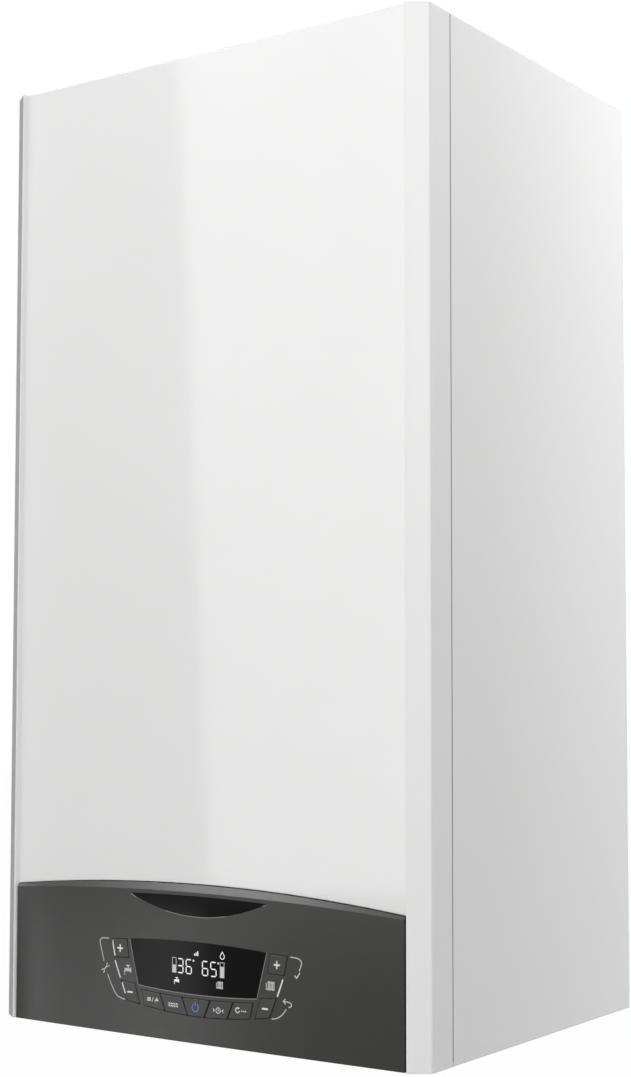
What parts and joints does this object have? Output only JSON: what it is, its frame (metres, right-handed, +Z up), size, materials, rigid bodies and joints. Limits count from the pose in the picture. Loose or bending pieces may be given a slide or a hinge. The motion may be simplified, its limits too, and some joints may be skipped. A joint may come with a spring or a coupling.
{
  "type": "wall-hung combi boiler",
  "caption": "White wall-hung combi boiler with a recessed front panel between folded pillars and an arched dark control panel with a display and push buttons.",
  "frame": {"origin": "on the wall, midway between the two wall bolts", "axes": "+X to the right seen from the front, +Y into the wall, +Z up"},
  "size_m": [0.4006, 0.3159, 0.808],
  "materials": {
    "casing_white": "smooth white enamel, satin",
    "zinc_steel": "zinc-plated, satin",
    "facia_grey": "fine-grained anthracite",
    "button_grey": "fine-grained anthracite",
    "gloss_black": "polished",
    "box_black": "moulded",
    "board_green": "solder-masked board",
    "seal_rubber": "matt",
    "trap_grey": "moulded",
    "exchanger_steel": "stainless, satin",
    "cast_aluminium": "cast, matt",
    "ceramic_white": "ceramic sleeve, matt",
    "rotor_black": "moulded",
    "vessel_red": "red enamel",
    "copper": "bright copper tube",
    "brass": "turned",
    "knob_red": "moulded",
    "knob_blue": "moulded"
  },
  "bodies": {
    "chassis": {"left_side_panel": "casing_white", "right_side_panel": "casing_white", "top_panel": "casing_white", "wall_bracket": "zinc_steel", "back_panel": "zinc_steel", "bottom_frame": "zinc_steel", "casing_screws": "zinc_steel", "door_nuts": "zinc_steel", "cable_gland": "box_black", "diverter_motor": "box_black", "intake_silencer": "box_black", "flow_manifold": "box_black", "return_manifold": "box_black", "pump_housing": "box_black", "cover_seal": "seal_rubber", "flue_seals": "seal_rubber", "vessel_hose": "seal_rubber", "ignition_lead": "seal_rubber", "condensate_trap": "trap_grey", "condensate_hose": "trap_grey", "flue_duct": "trap_grey", "heat_exchanger_coil": "exchanger_steel", "burner_tube": "exchanger_steel", "plate_heat_exchanger": "exchanger_steel", "heat_exchanger_housing": "cast_aluminium", "burner_door": "cast_aluminium", "fan_housing": "cast_aluminium", "fan_motor": "cast_aluminium", "pump_motor": "cast_aluminium", "gas_valve": "cast_aluminium", "flue_collar": "cast_aluminium", "ignition_electrode": "ceramic_white", "expansion_vessel": "vessel_red", "flow_pipe": "copper", "return_pipe": "copper", "gas_pipe": "copper", "water_tails": "brass", "safety_valve": "brass", "filling_valve": "brass"},
    "cover": {"front_cover": "casing_white"},
    "control_panel": {"facia": "facia_grey", "crest_trim": "gloss_black", "display_window": "gloss_black", "control_box": "box_black", "control_box_lid": "box_black", "main_board": "board_green"},
    "left_plus_button": {"left_plus_button": "button_grey"},
    "left_minus_button": {"left_minus_button": "button_grey"},
    "mode_button": {"mode_button": "button_grey"},
    "comfort_button": {"comfort_button": "button_grey"},
    "power_button": {"power_button": "button_grey"},
    "auto_button": {"auto_button": "button_grey"},
    "reset_button": {"reset_button": "button_grey"},
    "right_plus_button": {"right_plus_button": "button_grey"},
    "right_minus_button": {"right_minus_button": "button_grey"},
    "fan_wheel": {"fan_wheel": "rotor_black"},
    "pump_impeller": {"pump_impeller": "rotor_black"},
    "diverter_stem": {"diverter_stem": "rotor_black"},
    "filling_knob": {"filling_knob": "knob_blue"},
    "safety_valve_knob": {"safety_valve_knob": "knob_red"}
  },
  "joints": [
    {"name": "cover_slide", "type": "slide", "parent": "chassis", "child": "cover", "axis": [0, -1, 0], "range_m": [0, 0.12]},
    {"name": "panel_hinge", "type": "hinge", "parent": "chassis", "child": "control_panel", "pos_m": [0, -0.303, -0.685], "axis": [1, 0, 0], "range_deg": [0, 85]},
    {"name": "left_plus_press", "type": "slide", "parent": "control_panel", "child": "left_plus_button", "axis": [0, 1, 0], "range_m": [0, 0.0012], "stiffness_N_per_m": 600},
    {"name": "left_minus_press", "type": "slide", "parent": "control_panel", "child": "left_minus_button", "axis": [0, 1, 0], "range_m": [0, 0.0012], "stiffness_N_per_m": 600},
    {"name": "mode_press", "type": "slide", "parent": "control_panel", "child": "mode_button", "axis": [0, 1, 0], "range_m": [0, 0.0012], "stiffness_N_per_m": 600},
    {"name": "comfort_press", "type": "slide", "parent": "control_panel", "child": "comfort_button", "axis": [0, 1, 0], "range_m": [0, 0.0012], "stiffness_N_per_m": 600},
    {"name": "power_press", "type": "slide", "parent": "control_panel", "child": "power_button", "axis": [0, 1, 0], "range_m": [0, 0.0012], "stiffness_N_per_m": 600},
    {"name": "auto_press", "type": "slide", "parent": "control_panel", "child": "auto_button", "axis": [0, 1, 0], "range_m": [0, 0.0012], "stiffness_N_per_m": 600},
    {"name": "reset_press", "type": "slide", "parent": "control_panel", "child": "reset_button", "axis": [0, 1, 0], "range_m": [0, 0.0012], "stiffness_N_per_m": 600},
    {"name": "right_plus_press", "type": "slide", "parent": "control_panel", "child": "right_plus_button", "axis": [0, 1, 0], "range_m": [0, 0.0012], "stiffness_N_per_m": 600},
    {"name": "right_minus_press", "type": "slide", "parent": "control_panel", "child": "right_minus_button", "axis": [0, 1, 0], "range_m": [0, 0.0012], "stiffness_N_per_m": 600},
    {"name": "fan_spin", "type": "hinge", "parent": "chassis", "child": "fan_wheel", "pos_m": [0.133, -0.165, -0.255], "axis": [0, 0, 1], "continuous": true},
    {"name": "pump_spin", "type": "hinge", "parent": "chassis", "child": "pump_impeller", "pos_m": [0.125, -0.124, -0.545], "axis": [0, 1, 0], "continuous": true},
    {"name": "diverter_slide", "type": "slide", "parent": "chassis", "child": "diverter_stem", "axis": [0, 0, 1], "range_m": [0, 0.006]},
    {"name": "filling_turn", "type": "hinge", "parent": "chassis", "child": "filling_knob", "pos_m": [0.1005, -0.095, -0.704], "axis": [0, 0, 1], "range_deg": [0, 360]},
    {"name": "safety_turn", "type": "hinge", "parent": "chassis", "child": "safety_valve_knob", "pos_m": [0.155, -0.172, -0.635], "axis": [0, -1, 0], "range_deg": [0, 90]}
  ]
}
